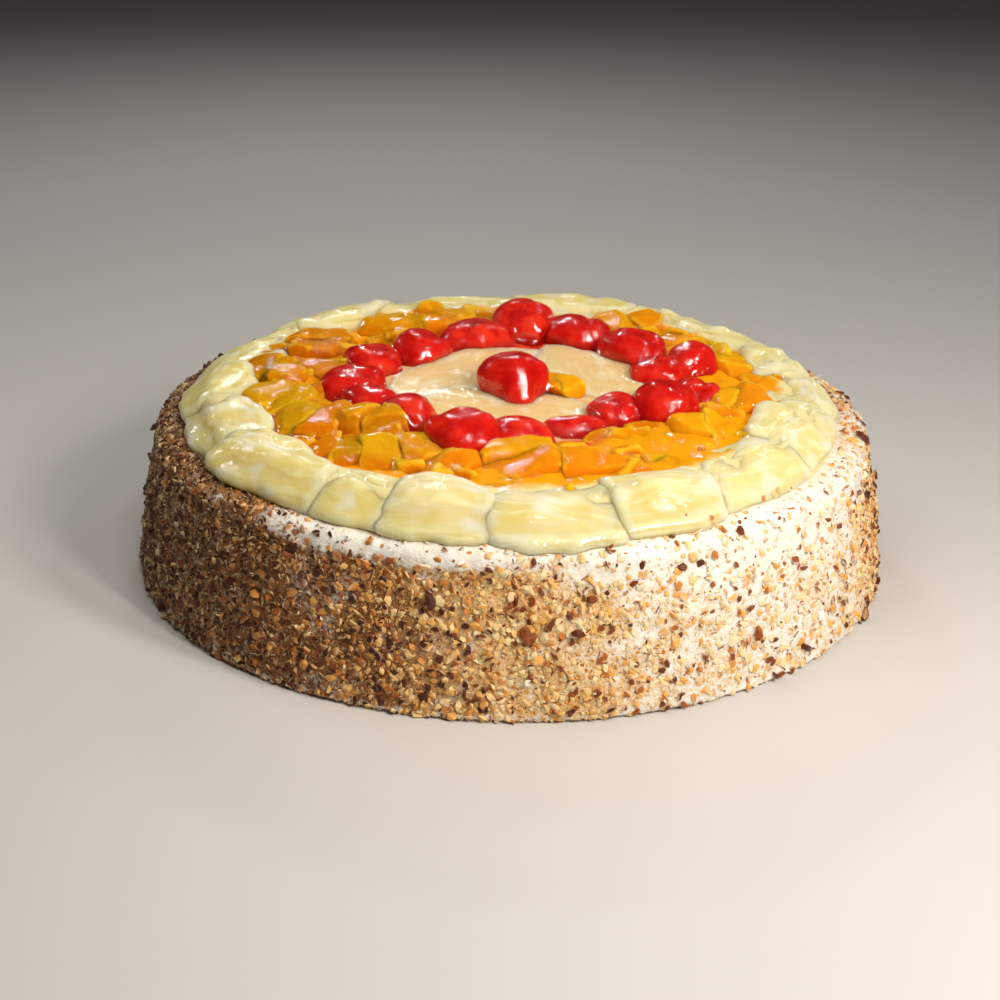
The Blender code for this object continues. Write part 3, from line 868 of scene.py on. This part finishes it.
# chopped roasted nuts pressed into the cream; sizes in millimetres, tone from pale kernel to dark skin,
# sunk is how far up its side the cream covers each bit
nuts = {
    "fineMeal": {"count": 34000, "size": (0.3, 0.9), "body": "cone", "jitter": 0.1, "shape": (1.0, 0.9, 0.8),
                 "tones": (0.15, 0.8), "lift": 0.0, "sunk": -0.1},
    "nutMeal": {"count": 12000, "size": (0.7, 1.6), "body": "cube", "jitter": 0.24, "shape": (1.0, 0.8, 0.5),
                "tones": (0.1, 0.62), "lift": -0.05, "sunk": 0.0},
    "nutCrumbs": {"count": 6500, "size": (1.6, 3.8), "body": "ball", "jitter": 0.26, "shape": (1.2, 0.9, 0.5),
                  "tones": (0.05, 0.55), "lift": -0.08, "sunk": 0.1},
    "toastedCrumbs": {"count": 4600, "size": (1.0, 3.0), "body": "ball", "jitter": 0.30, "shape": (1.2, 0.85, 0.5),
                      "tones": (0.40, 0.74), "lift": -0.02, "sunk": -0.1},
    "skinFlakes": {"count": 4000, "size": (0.5, 2.6), "body": "ball", "jitter": 0.34, "shape": (1.2, 0.8, 0.4),
                   "tones": (0.70, 0.98), "lift": 0.2, "sunk": -0.5},
    "nutSlivers": {"count": 1900, "size": (0.9, 3.0), "body": "cube", "jitter": 0.22, "shape": (1.0, 0.16, 0.12),
                   "tones": (0.6, 1.0), "lift": 0.15, "sunk": -0.5},
    "skinChunks": {"count": 150, "size": (2.0, 4.0), "body": "ball", "jitter": 0.34, "shape": (1.2, 0.8, 0.5),
                   "tones": (0.78, 0.98), "lift": 0.25, "sunk": -0.5, "highest": 0.040},
    "bigChunks": {"count": 86, "size": (2.4, 5.4), "body": "lump", "jitter": 0.20, "shape": (1.2, 0.8, 0.45),
                  "tones": (0.62, 0.97), "lift": 0.05, "sunk": -0.5},
    "strayCrumbs": {"count": 150, "size": (0.4, 2.2), "body": "ball", "jitter": 0.26, "shape": (1.2, 0.9, 0.6),
                    "tones": (0.2, 0.85), "lift": 0.2, "sunk": -0.5},
}


def makeCrumb(body, jitter, shape, seed):  # one broken bit of nut, a unit long
    bpy.ops.object.select_all(action="DESELECT")
    if body == "cube":
        bpy.ops.mesh.primitive_cube_add(size=0.8, location=(0, 0, 0))
    elif body == "cone":
        bpy.ops.mesh.primitive_cone_add(vertices=3, radius1=0.6, depth=0.8, location=(0, 0, 0))
    elif body == "lump":
        bpy.ops.mesh.primitive_ico_sphere_add(subdivisions=2, radius=0.5, location=(0, 0, 0))
    else:
        bpy.ops.mesh.primitive_ico_sphere_add(subdivisions=1, radius=0.5, location=(0, 0, 0))
    crumb = bpy.context.active_object
    bpy.ops.object.mode_set(mode="EDIT")
    bpy.ops.mesh.select_all(action="SELECT")
    bpy.ops.transform.vertex_random(offset=jitter, seed=seed)
    bpy.ops.transform.resize(value=shape)
    bpy.ops.mesh.quads_convert_to_tris()
    bpy.ops.mesh.normals_make_consistent(inside=False)
    bpy.ops.object.mode_set(mode="OBJECT")
    corners = np.empty(len(crumb.data.loops), np.int32)
    crumb.data.loops.foreach_get("vertex_index", corners)
    points = pointsOf(crumb)
    bpy.data.objects.remove(crumb)
    return points, corners.reshape(-1, 3)


def trianglesOf(obj):
    obj.data.calc_loop_triangles()
    triangles = np.empty(len(obj.data.loop_triangles) * 3, np.int32)
    obj.data.loop_triangles.foreach_get("vertices", triangles)
    return pointsOf(obj)[triangles.reshape(-1, 3)]


def surfacePoints(pieces, innerRadius, count, chance):
    corners = np.concatenate([trianglesOf(piece) for piece in pieces])
    crossed = np.cross(corners[:, 1] - corners[:, 0], corners[:, 2] - corners[:, 0])
    area = np.linalg.norm(crossed, axis=1)
    middle = corners.mean(1)
    area[np.hypot(middle[:, 0], middle[:, 1]) < innerRadius] = 0
    area[(middle[:, 2] > 0.045) & (crossed[:, 2] < 0)] = 0
    chosen = chance.choice(len(area), count, p=area / area.sum())
    first, second = np.sqrt(chance.random(count)), chance.random(count)
    shares = np.stack([1 - first, first * (1 - second), first * second], 1)
    return (corners[chosen] * shares[:, :, None]).sum(1), crossed[chosen] / area[chosen][:, None]


def scatterNuts(name, kind, chance):
    stray = name == "strayCrumbs"
    under = [piece for piece in fruit if piece.name.startswith("pineappleRing")] if stray else [creamCake]
    places, normals = surfacePoints(under, coat["strayRadius" if stray else "innerRadius"],
                                    kind["count"] * (4 if stray else 2), chance)
    shares = byAngle(places, coat["strayByAngle"]) if stray else coatShare(places)
    shares = shares * (places[:, 2] < kind.get("highest", 1.0))
    kept = np.flatnonzero(chance.random(len(places)) < shares)[:kind["count"]]
    low, high = kind["size"]
    sizes = (low + (high - low) * chance.random(len(kept)) ** 1.8) / 1000
    # a random tone for each bit, plus painted shade by angle round the cake
    tones = chance.uniform(*kind["tones"], len(kept)) + byAngle(places[kept], coat["roastByAngle"])
    return places[kept], normals[kept], sizes, tones


def makeNuts(name, kind, seed):
    chance = np.random.default_rng(seed)
    places, normals, sizes, tones = scatterNuts(name, kind, chance)
    count = len(places)
    up = normals + chance.normal(scale=0.42, size=(count, 3))
    up /= np.linalg.norm(up, axis=1)[:, None]
    side = np.cross(up, chance.normal(size=(count, 3)))
    side /= np.linalg.norm(side, axis=1)[:, None]
    spin = np.stack([side, np.cross(up, side), up], 2)
    shares = np.minimum(coatShare(places), 1)
    places = places + normals * (sizes * kind["lift"])[:, None]
    sunk = kind["sunk"] + chance.uniform(-0.2, 0.2, count)
    shapes = [makeCrumb(kind["body"], kind["jitter"], kind["shape"], seed * 10 + number) for number in range(7)]
    allPoints, allCorners, allTones, allBare, allNuts, start = [], [], [], [], [], 0
    for number, (points, corners) in enumerate(shapes):
        mine = np.arange(number, count, len(shapes))
        spread = np.einsum("nij,kj->nki", spin[mine], points) * sizes[mine][:, None, None] + places[mine][:, None]
        steps = start + np.arange(len(mine)) * len(points)
        allPoints.append(spread.reshape(-1, 3))
        allCorners.append((corners[None] + steps[:, None, None]).reshape(-1, 3))
        allTones.append(np.repeat(tones[mine], len(points)))
        height = points[:, 2] / np.abs(points[:, 2]).max()
        allBare.append(smoothStep(height[None] - sunk[mine][:, None], -0.3, 0.5).ravel())
        allNuts.append(np.repeat(shares[mine], len(points)))
        start += len(mine) * len(points)
    piece = meshFromArrays(name, np.concatenate(allPoints), np.concatenate(allCorners))
    setAttribute(piece, "tone", "FLOAT", np.concatenate(allTones))
    setAttribute(piece, "bare", "FLOAT", np.concatenate(allBare))
    setAttribute(piece, "nuts", "FLOAT", np.concatenate(allNuts))
    return piece


def meshFromArrays(name, points, corners):
    mesh = bpy.data.meshes.new(name)
    points[:, 2] = np.maximum(points[:, 2], 0.0)
    mesh.vertices.add(len(points))
    mesh.vertices.foreach_set("co", points.astype(np.float32).ravel())
    mesh.loops.add(corners.size)
    mesh.loops.foreach_set("vertex_index", corners.astype(np.int32).ravel())
    mesh.polygons.add(len(corners))
    mesh.polygons.foreach_set("loop_start", np.arange(0, corners.size, 3, dtype=np.int32))
    mesh.update(calc_edges=True)
    mesh.shade_flat()
    piece = bpy.data.objects.new(name, mesh)
    bpy.context.collection.objects.link(piece)
    return piece


def nutLook():
    look = Look("chopped nuts")
    spot = look.place()
    tone = look.attribute("tone")
    mottle = look.speckle(spot, 0.0012, 3.0)
    fine = look.speckle(spot, 0.0004, 3.0)
    colour = look.ramp(tone + (mottle - 0.5) * 0.22, coat["colours"])
    smear = look.blend(look.between(look.attribute("nuts"), 0.35, 0.9), cream["colour"], cream["meal"])
    colour = look.blend(look.attribute("bare"), smear, colour)
    return look.finish(look.surface({
        "Base Color": colour, "Roughness": 0.5, "Specular IOR Level": 0.25,
        "Subsurface Weight": 0.5, "Subsurface Scale": 0.0012,
        "Subsurface Radius": (1.0, 0.9, 0.7), "Normal": look.bump(fine, 0.6, 0.0003)}))


look = nutLook()
for seed, (name, kind) in enumerate(nuts.items(), 21):
    piece = makeNuts(name, kind, seed)
    place(piece, "nut_cream", look)
    print(name + ":", len(piece.data.polygons), "faces")


# floor, lights and camera
studio = {
    "floorColour": (0.66, 0.63, 0.60), "floorSize": 8.0,
    "world": (0.44, 0.43, 0.43), "worldStrength": 0.03,
    # power, width, height, distance, angle round the cake, rise above the floor, colour, whether it gleams in the glaze
    "lights": {
        "key light": (1.7, 0.08, 0.18, 0.62, 318, 38, (1.0, 0.95, 0.88), True),
        "second key light": (1.25, 0.045, 0.18, 0.62, 301, 37, (1.0, 0.95, 0.88), True),
        "high light": (0.25, 0.05, 0.04, 0.75, 296, 64, (1.0, 1.0, 1.0), True),
        "front spark": (0.22, 0.05, 0.03, 0.75, 277, 50, (1.0, 1.0, 1.0), True),
        "side spark": (0.22, 0.05, 0.03, 0.75, 334, 56, (1.0, 1.0, 1.0), True),
        "top light": (0.80, 0.36, 0.36, 0.46, 210, 75, (1.0, 0.95, 0.87), False),
        "strip light": (0.62, 0.13, 0.020, 0.85, 98, 34, (1.0, 1.0, 1.0), True),
        "left spark": (0.25, 0.05, 0.04, 0.85, 138, 31, (1.0, 1.0, 1.0), True),
        "right spark": (0.25, 0.05, 0.04, 0.85, 58, 40, (1.0, 1.0, 1.0), True),
    },
}
view = {"target": (-0.0034, 0.0, 0.016), "rise": 22.9, "distance": 0.650, "roll": 1.1, "lens": 72}


def makeFloor():
    bpy.ops.object.select_all(action="DESELECT")
    bpy.ops.mesh.primitive_plane_add(size=studio["floorSize"], location=(0, 0, -0.0004))
    floor = bpy.context.active_object
    floor.name = "floor"
    look = Look("studio floor")
    tone = look.speckle(look.place(), 0.35, 2.0)
    pale = studio["floorColour"]
    colour = look.blend(tone, tuple(channel * 0.97 for channel in pale), pale)
    floor.data.materials.append(look.finish(look.surface({"Base Color": colour, "Roughness": 0.8})))


def makeLight(name, power, width, height, distance, angle, rise, colour, gleams):
    bpy.ops.object.light_add(type="AREA", location=towards(angle, rise, distance))
    light = bpy.context.active_object
    light.name = name
    light.data.shape = "RECTANGLE"
    light.data.energy, light.data.size, light.data.size_y, light.data.color = power, width, height, colour
    light.rotation_euler = (-light.location).to_track_quat("-Z", "Y").to_euler()
    light.visible_glossy = gleams


def makeCamera():
    target = Vector(view["target"])
    bpy.ops.object.camera_add(location=target + towards(270, view["rise"], view["distance"]))
    camera = bpy.context.active_object
    camera.data.lens, camera.data.sensor_width = view["lens"], 36
    facing = (target - camera.location).to_track_quat("-Z", "Y").to_matrix()
    camera.rotation_euler = (facing @ Matrix.Rotation(math.radians(view["roll"]), 3, "Z")).to_euler()
    bpy.context.scene.camera = camera


makeFloor()
for name, setting in studio["lights"].items():
    makeLight(name, *setting)
makeCamera()
world = bpy.data.worlds.new("studio")
bpy.context.scene.world = world
world.use_nodes = True
world.node_tree.nodes["Background"].inputs["Color"].default_value = (*studio["world"], 1.0)
world.node_tree.nodes["Background"].inputs["Strength"].default_value = studio["worldStrength"]
bpy.context.scene.view_settings.view_transform = "Standard"
print("studio set")
